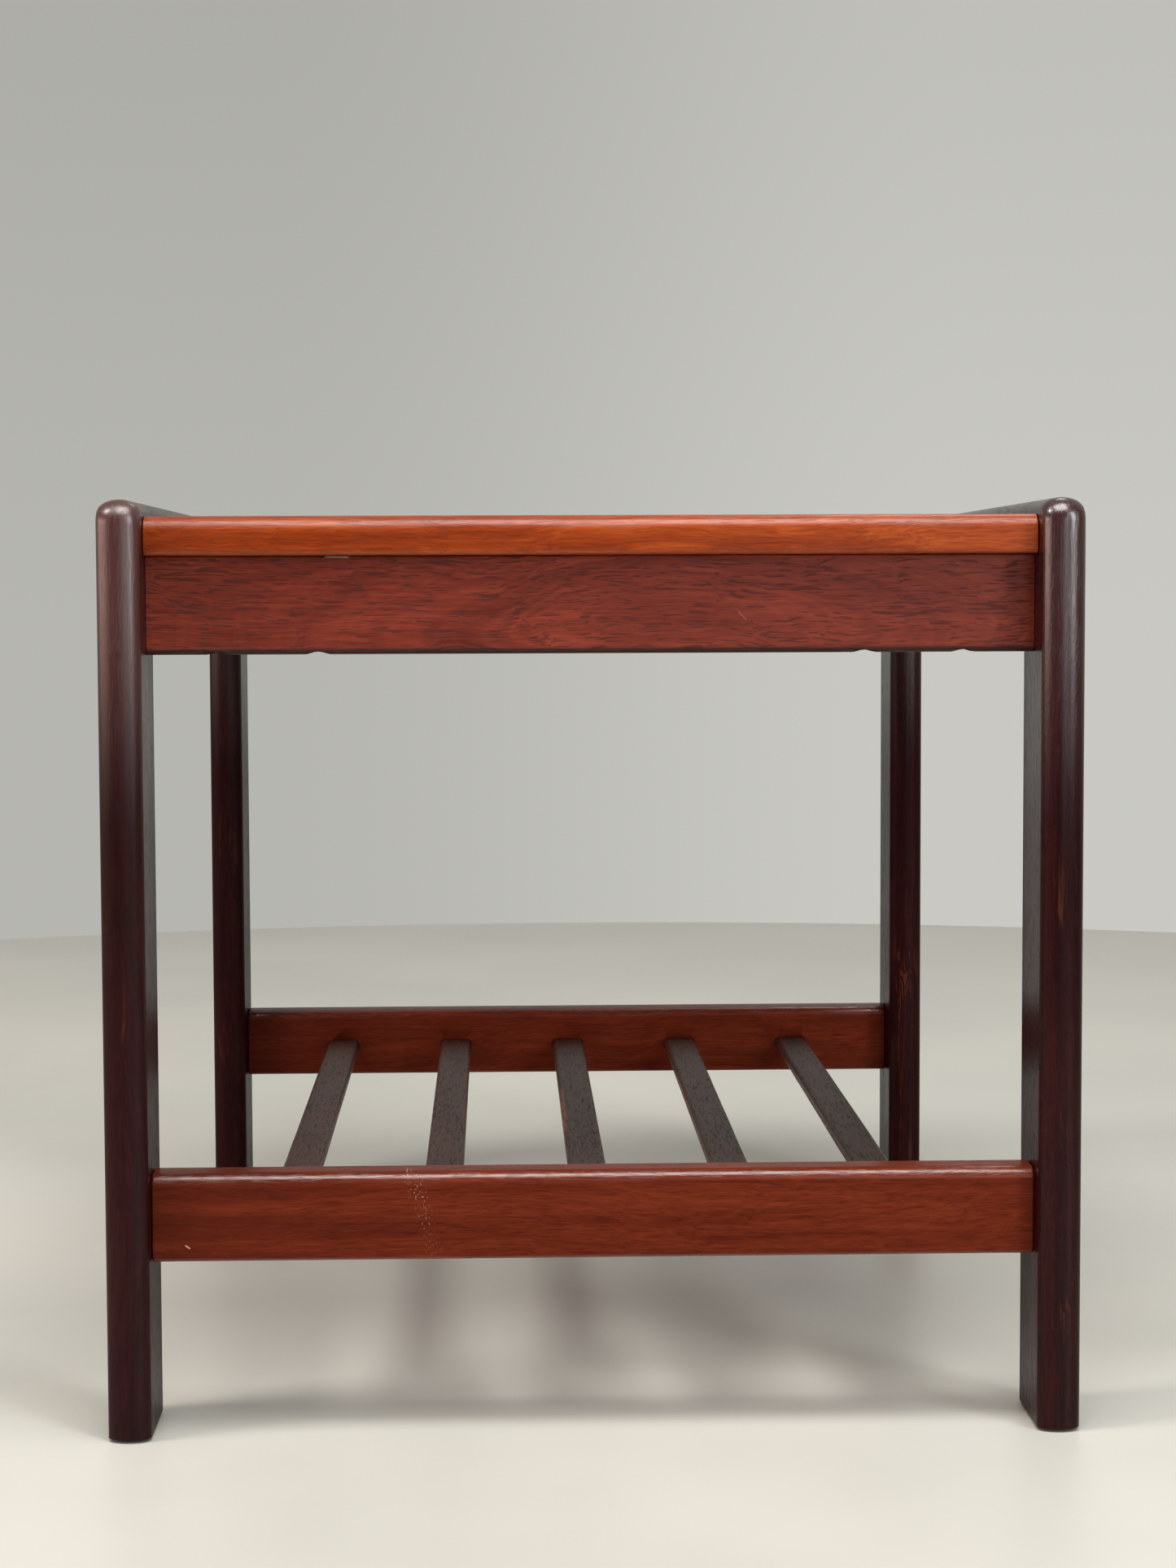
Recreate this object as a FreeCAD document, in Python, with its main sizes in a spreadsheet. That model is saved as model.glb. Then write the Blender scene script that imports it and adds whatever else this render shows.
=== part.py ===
"""Side table with a slatted lower shelf, in mahogany: a rigid luggage or bag stand.

Two side frames (two upright boards and a rail each) are joined by an apron and a shelf rail at
the front and at the back. A veneered top with solid lippings lies on the aprons, between the
raised side frames, and five slats run from shelf rail to shelf rail.

Millimetres. +X is to the right, +Y to the back, +Z up. The origin is on the floor, under the
middle of the table. One quarter is modelled and mirrored across the X and Y middle planes.
"""
import FreeCAD, Part
import math
import os
import Sketcher
from FreeCAD import Placement, Rotation, Vector

DIMENSIONS = [
    ("overall_width", 520.0, "across the outer faces of the side frames"),
    ("overall_depth", 665.0, "across the noses of the front and back legs"),
    ("overall_height", 500.0, "floor to the top of the side frames"),
    ("board_thick", 23.0, "planed one-inch board of the side frames and shelf rails"),
    ("leg_depth", 65.0, "leg, front to back, with both noses"),
    ("nose_depth", 7.0, "half-ellipse that rounds the edges of the side frames"),
    ("corner_radius", 13.0, "top corner of a side frame, seen from the side"),
    ("side_rail_bottom", 418.0, "underside of the side rail and of the apron"),
    ("top_level", 491.5, "upper face of the tabletop"),
    ("top_thick", 21.0, "tabletop with both veneers"),
    ("top_setback", 16.0, "leg nose to the front of the lipping"),
    ("top_play", 0.3, "gap between the tabletop and each side frame"),
    ("veneer_thick", 1.0, "face veneer and balancing veneer"),
    ("lipping_depth", 14.0, "solid lipping, front to back"),
    ("lipping_top_round", 9.0, "rounding of the upper edge of the lipping"),
    ("lipping_low_arris", 3.0, "rounding of the lower edge of the lipping"),
    ("apron_thick", 20.0, "apron, front to back"),
    ("apron_setback", 27.5, "leg nose to the front of the apron"),
    ("apron_arris", 4.5, "rounding of the lower edges of the apron"),
    ("eased_edge", 1.0, "light rounding of an edge that touches another piece"),
    ("shelf_rail_bottom", 94.0, "underside of the shelf rail"),
    ("shelf_rail_height", 47.0, "height of the shelf rail"),
    ("shelf_rail_setback", 16.0, "leg nose to the front of the shelf rail"),
    ("shelf_rail_arris", 4.0, "rounding of the upper edges of the shelf rail"),
    ("shelf_rail_low_arris", 2.0, "rounding of the lower edges of the shelf rail"),
    ("slat_width", 22.0, "width of a slat"),
    ("slat_thick", 9.0, "thickness of a slat"),
    ("slat_arris", 3.0, "rounding of the long edges of a slat"),
    ("slat_level", 119.0, "upper face of the slats"),
    ("slat_pitch", 83.0, "middle of one slat to the middle of the next"),
    ("mortise_depth", 12.0, "how far a slat enters a shelf rail"),
    ("mortise_play", 0.2, "gap round a slat in its mortise"),
    ("dowel_radius", 4.0, "beech dowel"),
    ("dowel_long", 40.0, "length of a dowel"),
    ("dowel_chamfer", 1.0, "chamfer at each end of a dowel"),
    ("dowel_in_face", 16.0, "depth of a dowel in the face of a leg"),
    ("bore_play", 0.05, "radial gap round a dowel or a nail"),
    ("bore_relief", 1.0, "glue space past the end of a dowel"),
    ("screw_inner", 146.0, "middle of the table to the inner screw wells"),
    ("screw_outer", 199.0, "middle of the table to the outer screw wells"),
    ("well_radius", 8.75, "screw well in the underside of the apron"),
    ("well_depth", 26.0, "depth of a screw well"),
    ("screw_radius", 2.0, "shank of a screw"),
    ("screw_long", 40.0, "shank and point of a screw"),
    ("screw_head_radius", 4.0, "head of a screw"),
    ("screw_head_tall", 2.6, "height of the head"),
    ("screw_head_flat", 2.4, "radius of the flat end of the head, inside its bevel"),
    ("screw_head_rim", 1.0, "height of the head's rim, below its bevel"),
    ("screw_taper", 6.0, "length of the pointed end"),
    ("screw_slot", 1.2, "width and depth of the screwdriver slot"),
    ("glide_tall", 1.5, "head of a foot glide"),
    ("glide_radius", 8.0, "radius of the head of a foot glide"),
    ("glide_round", 0.6, "rounding of the rim of a foot glide"),
    ("nail_radius", 1.2, "nail of a foot glide"),
    ("nail_long", 14.0, "length of the nail in the leg"),
]
SLATS = 5
ALONG_X = Rotation(Vector(0, 1, 0), 90)
ALONG_Y = Rotation(Vector(1, 0, 0), -90)
MIRROR_X = Vector(1, 0, 0)
MIRROR_Y = Vector(0, 1, 0)
UPWARD = "up"
DOWNWARD = "down"
SHEET = "Dimensions"


class Size:
    """A length with its number and the spreadsheet expression that gives it."""

    def __init__(self, value, text):
        self.value = value
        self.text = text

    def _join(self, other, sign, value):
        return Size(value, f"({self.text} {sign} {size(other).text})")

    def __add__(self, other):
        return self._join(other, "+", self.value + size(other).value)

    def __sub__(self, other):
        return self._join(other, "-", self.value - size(other).value)

    def __mul__(self, other):
        return self._join(other, "*", self.value * size(other).value)

    def __truediv__(self, other):
        return self._join(other, "/", self.value / size(other).value)

    def __neg__(self):
        return self * -1


def size(number):
    """A plain number as a Size. A Size stays as it is."""
    return number if isinstance(number, Size) else Size(float(number), repr(number))


class Sheet:
    """The driving dimensions: each one is an attribute, and a cell with the same alias."""

    def __init__(self, doc):
        cells = doc.addObject("Spreadsheet::Sheet", SHEET)
        for row, (name, value, note) in enumerate(DIMENSIONS, start=1):
            cells.set(f"A{row}", name)
            cells.set(f"B{row}", str(value))
            cells.set(f"C{row}", note)
            cells.setAlias(f"B{row}", name)
            setattr(self, name, Size(value, f"{SHEET}.{name}"))


def bind(item, **properties):
    """Tie properties of an object to the sheet. Two underscores stand for a dot."""
    for name, length in properties.items():
        item.setExpression(name.replace("__", "."), size(length).text)


def place(item, x=0, y=0, z=0, rotation=Rotation()):
    """Put an object at a point that follows the sheet."""
    point = [size(value) for value in (x, y, z)]
    item.Placement = Placement(Vector(*[value.value for value in point]), rotation)
    for axis, value in zip("xyz", point):
        item.setExpression(f"Placement.Base.{axis}", value.text)


# ---------------------------------------------------------------- sketches

def new_sketch(body, plane_role, name):
    """An empty sketch on one of the origin planes of its own body."""
    sketch = body.newObject("Sketcher::SketchObject", name)
    plane = next(item for item in body.Origin.OriginFeatures if item.Role == plane_role)
    sketch.AttachmentSupport = [(plane, "")]
    sketch.MapMode = "FlatFace"
    return sketch


def constrain(sketch, length, kind, *where):
    """Add a dimension to a sketch and tie it to the sheet."""
    index = sketch.addConstraint(Sketcher.Constraint(kind, *where, length.value))
    sketch.setExpression(f"Constraints[{index}]", length.text)


def pin(sketch, edge, end, point):
    """Hold one end of an edge at a signed distance from the origin of the sketch."""
    constrain(sketch, point[0], "DistanceX", -1, 1, edge, end)
    constrain(sketch, point[1], "DistanceY", -1, 1, edge, end)


def flat(point):
    return Vector(point[0].value, point[1].value, 0)


def toward(here, there):
    """Unit step from one point to another, along the sketch axis that they share."""
    steps = [there[k].value - here[k].value for k in (0, 1)]
    return [0 if abs(step) < 1e-9 else int(math.copysign(1, step)) for step in steps]


def corner_points(before, corner, after, radius):
    """Where a rounded right-angled corner starts and ends, and the centre of its arc."""
    back = toward(corner, before)
    onward = toward(corner, after)
    start = [corner[k] + radius * back[k] for k in (0, 1)]
    finish = [corner[k] + radius * onward[k] for k in (0, 1)]
    centre = [corner[k] + radius * (back[k] + onward[k]) for k in (0, 1)]
    return start, finish, centre


def outline(sketch, corners, closed=True):
    """Draw straight runs through corners given as (x, y) or (x, y, radius)."""
    corners = [tuple(size(value) for value in corner) for corner in corners]
    stops = []
    for index, corner in enumerate(corners):
        if len(corner) == 2:
            stops.append((corner, None, None))
            continue
        start, finish, centre = corner_points(
            corners[index - 1], corner, corners[(index + 1) % len(corners)], corner[2])
        stops.append((start, centre, corner[2]))
        stops.append((finish, None, None))
    edges = []
    last = len(stops) if closed else len(stops) - 1
    for index in range(last):
        start, centre, radius = stops[index]
        finish = stops[(index + 1) % len(stops)][0]
        if centre is None:
            edge = sketch.addGeometry(Part.LineSegment(flat(start), flat(finish)))
            edges.append((edge, 1, 2, None))
            continue
        from_centre = flat(start) - flat(centre)
        to_centre = flat(finish) - flat(centre)
        angles = [math.atan2(arm.y, arm.x) for arm in (from_centre, to_centre)]
        leftward = from_centre.cross(to_centre).z > 0
        first, second = angles if leftward else reversed(angles)
        circle = Part.Circle(flat(centre), Vector(0, 0, 1), radius.value)
        edge = sketch.addGeometry(Part.ArcOfCircle(circle, first, second))
        edges.append((edge, 1, 2, radius) if leftward else (edge, 2, 1, radius))
    for index, (edge, first, second, radius) in enumerate(edges):
        pin(sketch, edge, first, stops[index][0])
        if closed or index + 1 < len(edges):
            following = edges[(index + 1) % len(edges)]
            sketch.addConstraint(
                Sketcher.Constraint("Coincident", edge, second, following[0], following[1]))
        else:
            pin(sketch, edge, second, stops[index + 1][0])
        if radius is not None:
            constrain(sketch, radius, "Radius", edge)


def half_ellipse(sketch, centre, half_width, reach, way):
    """Draw the rounded side of a nose that points up or down the sketch."""
    middle = flat(centre)
    side = Vector(half_width.value, 0, 0)
    point = Vector(0, reach.value, 0)
    ellipse = Part.Ellipse(middle + side, middle + point, middle)
    first, last = (0, math.pi) if way == UPWARD else (math.pi, 2 * math.pi)
    edge = sketch.addGeometry(Part.ArcOfEllipse(ellipse, first, last))
    sketch.exposeInternalGeometry(edge)
    long_axis = edge + 1
    short_axis = edge + 2
    pin(sketch, edge, 3, centre)
    constrain(sketch, half_width * 2, "Distance", long_axis)
    constrain(sketch, reach * 2, "Distance", short_axis)
    sketch.addConstraint(Sketcher.Constraint("Horizontal", long_axis))


# ---------------------------------------------------------------- features

def new_body(doc, name):
    body = doc.addObject("PartDesign::Body", name)
    body.Label = name
    return body


def pad(body, sketch, length, name, both_ways=True, backwards=False):
    feature = body.newObject("PartDesign::Pad", name)
    feature.Profile = sketch
    feature.SideType = "Symmetric" if both_ways else "One side"
    feature.Reversed = backwards
    bind(feature, Length=length)
    return feature


def bar(doc, name, plane_role, corners, length):
    """A straight piece: a rounded section, padded both ways from its middle."""
    body = new_body(doc, name)
    sketch = new_sketch(body, plane_role, f"{name}_section")
    outline(sketch, corners)
    pad(body, sketch, length, f"{name}_length")
    return body


def turn(body, sketch, name):
    """Revolve a half section about its own vertical axis."""
    feature = body.newObject("PartDesign::Revolution", name)
    feature.Profile = sketch
    feature.ReferenceAxis = (sketch, ["V_Axis"])
    feature.Angle = 360
    return feature


def nose_section(body, plane_role, name, offset, centre, half_width, reach, way):
    """The half-ellipse of a nose, closed by its chord, on a plane at an offset."""
    sketch = new_sketch(body, plane_role, name)
    bind(sketch, AttachmentOffset__Base__z=offset)
    half_ellipse(sketch, centre, half_width, reach, way)
    level = centre[1]
    chord = sketch.addGeometry(Part.LineSegment(
        Vector(-half_width.value, level.value, 0), Vector(half_width.value, level.value, 0)))
    pin(sketch, chord, 1, (-half_width, level))
    pin(sketch, chord, 2, (half_width, level))
    return sketch


def cylinder(doc, name, radius, length, x=0, y=0, z=0, rotation=Rotation()):
    item = doc.addObject("Part::Cylinder", name)
    bind(item, Radius=radius, Height=length)
    place(item, x, y, z, rotation)
    return item


def block(doc, name, length, width, height, x, y, z):
    item = doc.addObject("Part::Box", name)
    item.Label = name
    bind(item, Length=length, Width=width, Height=height)
    place(item, x, y, z)
    return item


def cut(doc, name, base, tools):
    """A named piece: a blank with its bores, wells or mortises taken out."""
    group = doc.addObject("Part::Compound", f"{name}_tools")
    group.Links = tools
    piece = doc.addObject("Part::Cut", name)
    piece.Base = base
    piece.Tool = group
    piece.Label = name
    return piece


def mirror(doc, source, name, normal):
    item = doc.addObject("Part::Mirroring", name)
    item.Source = source
    item.Base = Vector(0, 0, 0)
    item.Normal = normal
    item.Label = name
    return item


def compound(doc, name, links):
    item = doc.addObject("Part::Compound", name)
    item.Links = links
    item.Label = name
    return item


def four_ways(doc, name, items):
    """A group of identical fasteners: one quarter of the table's, mirrored to all four."""
    quarter = compound(doc, f"{name}_quarter", items)
    other_side = mirror(doc, quarter, f"{name}_other_side", MIRROR_X)
    front = compound(doc, f"{name}_front", [quarter, other_side])
    back = mirror(doc, front, f"{name}_back", MIRROR_Y)
    return compound(doc, name, [front, back])


# ---------------------------------------------------------------- the table

class Layout:
    """Positions that several pieces share, worked out from the sheet."""

    def __init__(self, dims):
        half_width = dims.overall_width / 2
        self.front = -(dims.overall_depth / 2)
        self.frame_x = -half_width + dims.board_thick / 2
        self.inner_x = -half_width + dims.board_thick
        self.span = dims.overall_width - dims.board_thick * 2
        self.leg_back = self.front + dims.leg_depth
        self.leg_y = self.front + dims.leg_depth / 2
        self.top_under = dims.top_level - dims.top_thick
        self.apron_tall = self.top_under - dims.side_rail_bottom
        self.apron_y = self.front + dims.apron_setback + dims.apron_thick / 2
        self.shelf_rail_y = self.front + dims.shelf_rail_setback + dims.board_thick / 2
        self.bore_radius = dims.dowel_radius + dims.bore_play
        self.side_rail_tall = dims.overall_height - dims.side_rail_bottom
        rail_quarter = self.side_rail_tall / 4
        self.side_dowel_levels = [
            dims.side_rail_bottom + rail_quarter, dims.side_rail_bottom + rail_quarter * 3]
        apron_quarter = self.apron_tall / 4
        self.apron_dowel_levels = [
            dims.side_rail_bottom + apron_quarter, dims.side_rail_bottom + apron_quarter * 3]
        shelf_quarter = dims.shelf_rail_height / 4
        self.shelf_dowel_levels = [
            dims.shelf_rail_bottom + shelf_quarter, dims.shelf_rail_bottom + shelf_quarter * 3]


def leg_blank(doc, dims, at):
    """An upright board with a nose on its front, top and back edges.

    The core is a flat board, one nose inside the finished outline. One nose runs up the front
    edge and back over the top. The other runs up the back edge and turns under the side rail.
    """
    body = new_body(doc, "leg_blank")
    front_core = at.front + dims.nose_depth
    back_core = at.leg_back - dims.nose_depth
    top_core = dims.overall_height - dims.nose_depth
    under_rail = dims.side_rail_bottom + dims.nose_depth
    core_radius = dims.corner_radius - dims.nose_depth
    core = new_sketch(body, "YZ_Plane", "leg_core")
    outline(core, [
        (front_core, dims.glide_tall),
        (front_core, top_core, core_radius),
        (at.leg_back, top_core),
        (at.leg_back, under_rail),
        (back_core, under_rail),
        (back_core, dims.glide_tall),
    ])
    pad(body, core, dims.board_thick, "leg_board")

    half_board = dims.board_thick / 2
    path = new_sketch(body, "YZ_Plane", "leg_outer_edge")
    outline(path, [
        (front_core, dims.glide_tall),
        (front_core, top_core, core_radius),
        (at.leg_back, top_core),
    ], closed=False)
    outer = nose_section(body, "XY_Plane", "leg_outer_nose_section", dims.glide_tall,
                         (size(0), front_core), half_board, dims.nose_depth, DOWNWARD)
    sweep = body.newObject("PartDesign::AdditivePipe", "leg_outer_nose")
    sweep.Profile = outer
    sweep.Spine = path

    upright = nose_section(body, "XY_Plane", "leg_inner_nose_section", dims.glide_tall,
                           (size(0), back_core), half_board, dims.nose_depth, UPWARD)
    pad(body, upright, under_rail - dims.glide_tall, "leg_inner_nose", both_ways=False)
    turned = nose_section(body, "XZ_Plane", "leg_under_rail_nose_section", -back_core,
                          (size(0), under_rail), half_board, dims.nose_depth, DOWNWARD)
    pad(body, turned, dims.nose_depth, "leg_under_rail_nose", both_ways=False, backwards=True)
    place(body, at.frame_x)
    return body


def legs(doc, dims, at):
    """Four legs, bored for the dowels and for the nail of the glide."""
    inward = at.inner_x - dims.dowel_in_face - dims.bore_relief
    face_depth = dims.dowel_in_face + dims.bore_relief
    tools = []
    for y, levels, name in (
            (at.apron_y, at.apron_dowel_levels, "apron"),
            (at.shelf_rail_y, at.shelf_dowel_levels, "shelf_rail")):
        for index, z in enumerate(levels, start=1):
            tools.append(cylinder(doc, f"leg_{name}_bore_{index}", at.bore_radius, face_depth,
                                  inward, y, z, ALONG_X))
    edge_depth = dims.dowel_long / 2 + dims.bore_relief
    for index, z in enumerate(at.side_dowel_levels, start=1):
        tools.append(cylinder(doc, f"leg_side_rail_bore_{index}", at.bore_radius, edge_depth,
                              at.frame_x, at.leg_back - edge_depth, z, ALONG_Y))
    tools.append(cylinder(doc, "leg_nail_bore", dims.nail_radius + dims.bore_play,
                          dims.nail_long + dims.glide_tall, at.frame_x, at.leg_y, dims.glide_tall))
    first = cut(doc, "leg_front_left", leg_blank(doc, dims, at), tools)
    second = mirror(doc, first, "leg_front_right", MIRROR_X)
    third = mirror(doc, first, "leg_back_left", MIRROR_Y)
    fourth = mirror(doc, second, "leg_back_right", MIRROR_Y)
    return [first, second, third, fourth]


def side_rails(doc, dims, at):
    """The upper rail of each side frame, flush with its legs and nosed on both edges."""
    body = new_body(doc, "side_rail_blank")
    section = new_sketch(body, "XZ_Plane", "side_rail_section")
    half_board = dims.board_thick / 2
    low = dims.side_rail_bottom + dims.nose_depth
    high = dims.overall_height - dims.nose_depth
    half_ellipse(section, (size(0), low), half_board, dims.nose_depth, DOWNWARD)
    half_ellipse(section, (size(0), high), half_board, dims.nose_depth, UPWARD)
    for side in (-half_board, half_board):
        edge = section.addGeometry(Part.LineSegment(
            Vector(side.value, low.value, 0), Vector(side.value, high.value, 0)))
        pin(section, edge, 1, (side, low))
        pin(section, edge, 2, (side, high))
    length = dims.overall_depth - dims.leg_depth * 2
    pad(body, section, length, "side_rail_length")
    place(body, at.frame_x)
    depth = dims.dowel_long / 2 + dims.bore_relief
    tools = []
    for index, z in enumerate(at.side_dowel_levels, start=1):
        for end, y in (("front", at.leg_back), ("back", -at.leg_back - depth)):
            tools.append(cylinder(doc, f"side_rail_{end}_bore_{index}", at.bore_radius, depth,
                                  at.frame_x, y, z, ALONG_Y))
    left = cut(doc, "side_rail_left", body, tools)
    return [left, mirror(doc, left, "side_rail_right", MIRROR_X)]


def end_bores(doc, name, dims, at, y, levels):
    """Dowel bores in both ends of a piece that spans the two side frames."""
    depth = dims.dowel_long - dims.dowel_in_face + dims.bore_relief
    tools = []
    for index, z in enumerate(levels, start=1):
        for side, x in (("left", at.inner_x), ("right", -at.inner_x - depth)):
            tools.append(cylinder(doc, f"{name}_{side}_bore_{index}", at.bore_radius, depth,
                                  x, y, z, ALONG_X))
    return tools


def aprons(doc, dims, at):
    """Front and back aprons. The wells for the top's screws just break the rounded lower edge."""
    half = dims.apron_thick / 2
    body = bar(doc, "apron_blank", "YZ_Plane", [
        (-half, 0, dims.apron_arris),
        (half, 0, dims.apron_arris),
        (half, at.apron_tall, dims.eased_edge),
        (-half, at.apron_tall, dims.eased_edge),
    ], at.span)
    place(body, 0, at.apron_y, dims.side_rail_bottom)
    tools = end_bores(doc, "apron", dims, at, at.apron_y, at.apron_dowel_levels)
    for place_name, distance in (("inner", dims.screw_inner), ("outer", dims.screw_outer)):
        for side, x in (("left", -distance), ("right", distance)):
            where = f"{place_name}_{side}"
            tools.append(cylinder(doc, f"apron_well_{where}", dims.well_radius,
                                  dims.well_depth + dims.eased_edge, x, at.apron_y,
                                  dims.side_rail_bottom - dims.eased_edge))
            tools.append(cylinder(doc, f"apron_pilot_{where}", dims.screw_radius + dims.bore_play,
                                  at.apron_tall, x, at.apron_y,
                                  dims.side_rail_bottom + dims.eased_edge))
    front = cut(doc, "apron_front", body, tools)
    return [front, mirror(doc, front, "apron_back", MIRROR_Y)]


def shelf_rails(doc, dims, at):
    """Front and back shelf rails, with a row of blind mortises for the slats."""
    half = dims.board_thick / 2
    body = bar(doc, "shelf_rail_blank", "YZ_Plane", [
        (-half, 0, dims.shelf_rail_low_arris),
        (half, 0, dims.shelf_rail_low_arris),
        (half, dims.shelf_rail_height, dims.shelf_rail_arris),
        (-half, dims.shelf_rail_height, dims.shelf_rail_arris),
    ], at.span)
    place(body, 0, at.shelf_rail_y, dims.shelf_rail_bottom)

    row = new_body(doc, "mortise_row")
    section = new_sketch(row, "XZ_Plane", "mortise_section")
    half_slat = dims.slat_width / 2 + dims.mortise_play
    low = dims.slat_level - dims.slat_thick - dims.mortise_play
    high = dims.slat_level + dims.mortise_play
    outline(section, [
        (-half_slat, low, dims.slat_arris),
        (half_slat, low, dims.slat_arris),
        (half_slat, high, dims.slat_arris),
        (-half_slat, high, dims.slat_arris),
    ])
    first = pad(row, section, dims.mortise_depth * 2, "mortise")
    spacing = row.newObject("PartDesign::LinearPattern", "mortises")
    spacing.Originals = [first]
    spacing.Direction = (section, ["H_Axis"])
    spacing.Occurrences = SLATS
    bind(spacing, Length=dims.slat_pitch * (SLATS - 1))
    row.AllowCompound = True
    row.Tip = spacing
    place(row, -(dims.slat_pitch * (SLATS - 1) / 2), at.shelf_rail_y + half)

    tools = end_bores(doc, "shelf_rail", dims, at, at.shelf_rail_y, at.shelf_dowel_levels)
    front = cut(doc, "shelf_rail_front", body, tools + [row])
    return [front, mirror(doc, front, "shelf_rail_back", MIRROR_Y)]


def slats(doc, dims, at):
    """Five slats, each with its ends housed in the shelf rails."""
    half = dims.slat_width / 2
    rail_inside = at.shelf_rail_y + dims.board_thick / 2
    length = -(rail_inside - dims.mortise_depth + dims.mortise_play) * 2
    made = []
    for index in range(SLATS):
        body = bar(doc, f"slat_{index + 1}", "XZ_Plane", [
            (-half, dims.slat_level - dims.slat_thick, dims.slat_arris),
            (half, dims.slat_level - dims.slat_thick, dims.slat_arris),
            (half, dims.slat_level, dims.slat_arris),
            (-half, dims.slat_level, dims.slat_arris),
        ], length)
        place(body, dims.slat_pitch * (index - (SLATS - 1) / 2))
        made.append(body)
    return made


def lippings(doc, dims, at):
    """Solid lippings on the front and back of the top, with a broad rounding along the top edge."""
    body = bar(doc, "top_lipping_front", "YZ_Plane", [
        (0, 0, dims.lipping_low_arris),
        (dims.lipping_depth, 0),
        (dims.lipping_depth, dims.top_thick),
        (0, dims.top_thick, dims.lipping_top_round),
    ], at.span - dims.top_play * 2)
    place(body, 0, at.front + dims.top_setback, at.top_under)
    return [body, mirror(doc, body, "top_lipping_back", MIRROR_Y)]


def top_boards(doc, dims, at):
    """The core of the top, with a face veneer above and a balancing veneer below."""
    left = at.inner_x + dims.top_play
    front = at.front + dims.top_setback + dims.lipping_depth
    across = at.span - dims.top_play * 2
    deep = -front * 2
    veneer = dims.veneer_thick
    under = at.top_under
    face = block(doc, "top_veneer", across, deep, veneer, left, front, dims.top_level - veneer)
    balance = block(doc, "top_balancing_veneer", across, deep, veneer, left, front, under)
    core = block(doc, "top_core_blank", across, deep, dims.top_thick - veneer * 2,
                 left, front, under + veneer)
    tools = []
    for piece in ("core", "balance"):
        for place_name, distance in (("inner", dims.screw_inner), ("outer", dims.screw_outer)):
            for side, x in (("left", -distance), ("right", distance)):
                for row, y in (("front", at.apron_y), ("back", -at.apron_y)):
                    name = f"{piece}_pilot_{place_name}_{side}_{row}"
                    tools.append(cylinder(doc, name, dims.screw_radius + dims.bore_play,
                                          dims.screw_long - (at.apron_tall - dims.well_depth)
                                          + dims.bore_relief, x, y, under))
    half_count = len(tools) // 2
    balance.Label = "top_balancing_veneer_blank"
    return [
        face,
        cut(doc, "top_core", core, tools[:half_count]),
        cut(doc, "top_backing_veneer", balance, tools[half_count:]),
    ]


def dowels(doc, dims, at):
    """Beech dowels, in three groups of eight."""
    half = dims.dowel_long / 2
    groups = (
        ("apron_dowels", ALONG_X, at.inner_x - dims.dowel_in_face, at.apron_y,
         at.apron_dowel_levels),
        ("shelf_rail_dowels", ALONG_X, at.inner_x - dims.dowel_in_face, at.shelf_rail_y,
         at.shelf_dowel_levels),
        ("side_rail_dowels", ALONG_Y, at.frame_x, at.leg_back - half, at.side_dowel_levels),
    )
    made = []
    for name, direction, x, y, levels in groups:
        pegs = []
        for index, z in enumerate(levels, start=1):
            body = new_body(doc, f"{name}_peg_{index}")
            half_section = new_sketch(body, "XZ_Plane", f"{name}_half_section_{index}")
            outline(half_section, [
                (0, 0), (dims.dowel_radius - dims.dowel_chamfer, 0),
                (dims.dowel_radius, dims.dowel_chamfer),
                (dims.dowel_radius, dims.dowel_long - dims.dowel_chamfer),
                (dims.dowel_radius - dims.dowel_chamfer, dims.dowel_long),
                (0, dims.dowel_long),
            ])
            turn(body, half_section, f"{name}_turning_{index}")
            place(body, x, y, z, direction)
            pegs.append(body)
        made.append(four_ways(doc, name, pegs))
    return made


def top_screws(doc, dims, at):
    """Slotted screws that hold the top down, one in each well."""
    seat = dims.side_rail_bottom + dims.well_depth
    made = []
    for name, x in (("inner", -dims.screw_inner), ("outer", -dims.screw_outer)):
        body = new_body(doc, f"screw_{name}_turned")
        half_section = new_sketch(body, "XZ_Plane", f"screw_{name}_half_section")
        outline(half_section, [
            (0, -dims.screw_head_tall),
            (dims.screw_head_flat, -dims.screw_head_tall),
            (dims.screw_head_radius, -dims.screw_head_rim),
            (dims.screw_head_radius, 0),
            (dims.screw_radius, 0),
            (dims.screw_radius, dims.screw_long - dims.screw_taper),
            (0, dims.screw_long),
        ])
        turn(body, half_section, f"screw_{name}_turning")
        place(body, x, at.apron_y, seat)
        slot_half = dims.screw_head_radius + dims.eased_edge
        slot = block(doc, f"screw_{name}_slot", slot_half * 2, dims.screw_slot, dims.screw_slot,
                     x - slot_half, at.apron_y - dims.screw_slot / 2, seat - dims.screw_head_tall)
        made.append(cut(doc, f"screw_{name}", body, [slot]))
    return [four_ways(doc, "top_screws", made)]


def foot_glides(doc, dims, at):
    """A nail-on glide under each leg, with a flat bottom and a rounded rim."""
    made = []
    for end, y in (("front", at.leg_y), ("back", -at.leg_y)):
        for side, x in (("left", at.frame_x), ("right", -at.frame_x)):
            name = f"foot_glide_{end}_{side}"
            body = new_body(doc, name)
            half_section = new_sketch(body, "XZ_Plane", f"{name}_half_section")
            rim = dims.glide_round
            outline(half_section, [
                (0, 0),
                (dims.glide_radius, 0, rim),
                (dims.glide_radius, dims.glide_tall),
                (dims.nail_radius, dims.glide_tall),
                (dims.nail_radius, dims.glide_tall + dims.nail_long - dims.nail_radius * 2),
                (0, dims.glide_tall + dims.nail_long),
            ])
            turn(body, half_section, f"{name}_turning")
            place(body, x, y)
            made.append(body)
    return made


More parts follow.
